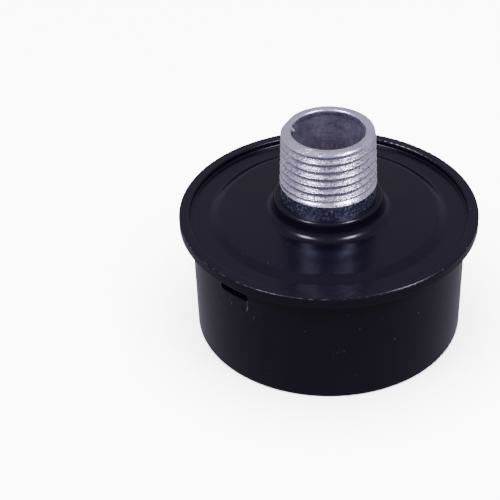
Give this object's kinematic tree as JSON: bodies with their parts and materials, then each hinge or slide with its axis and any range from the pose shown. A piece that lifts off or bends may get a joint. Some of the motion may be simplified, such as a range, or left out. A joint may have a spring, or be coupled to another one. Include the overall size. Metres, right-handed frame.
{
  "type": "pneumatic muffler",
  "caption": "Round push-together intake filter-muffler with a flanged head, male pipe-thread nipple, plain cup and pleated paper cartridge inside.",
  "frame": {"origin": "centre of the face that the cup stands on", "axes": "+Z along the nipple, away from the cup; the camera side of the picture is -Y and one pry slot is at -X -Y"},
  "size_m": [0.066, 0.066, 0.0495],
  "materials": {
    "cup_plastic": "semi-gloss moulded black plastic",
    "head_plastic": "semi-gloss moulded black plastic",
    "nipple_steel": "bright zinc plating over a cut thread",
    "ring_polyurethane": "satin cast polyurethane",
    "filter_paper": "matt resin-treated filter paper",
    "seam_glue": "hot-melt glue"
  },
  "bodies": {
    "cup": {"cover_cup": "cup_plastic"},
    "head": {"base_plate": "head_plastic", "threaded_nipple": "nipple_steel"},
    "cartridge": {"end_ring_lower": "ring_polyurethane", "end_ring_upper": "ring_polyurethane", "pleated_paper": "filter_paper", "paper_seam": "seam_glue"}
  },
  "joints": [
    {"name": "head_lift", "type": "slide", "parent": "cup", "child": "head", "axis": [0, 0, 1], "range_m": [0, 0.06]},
    {"name": "cartridge_lift", "type": "slide", "parent": "cup", "child": "cartridge", "axis": [0, 0, 1], "range_m": [0, 0.03]}
  ],
  "couplings": [
    {"joint": "cartridge_lift", "follows": "head_lift", "ratio": 0.5}
  ]
}
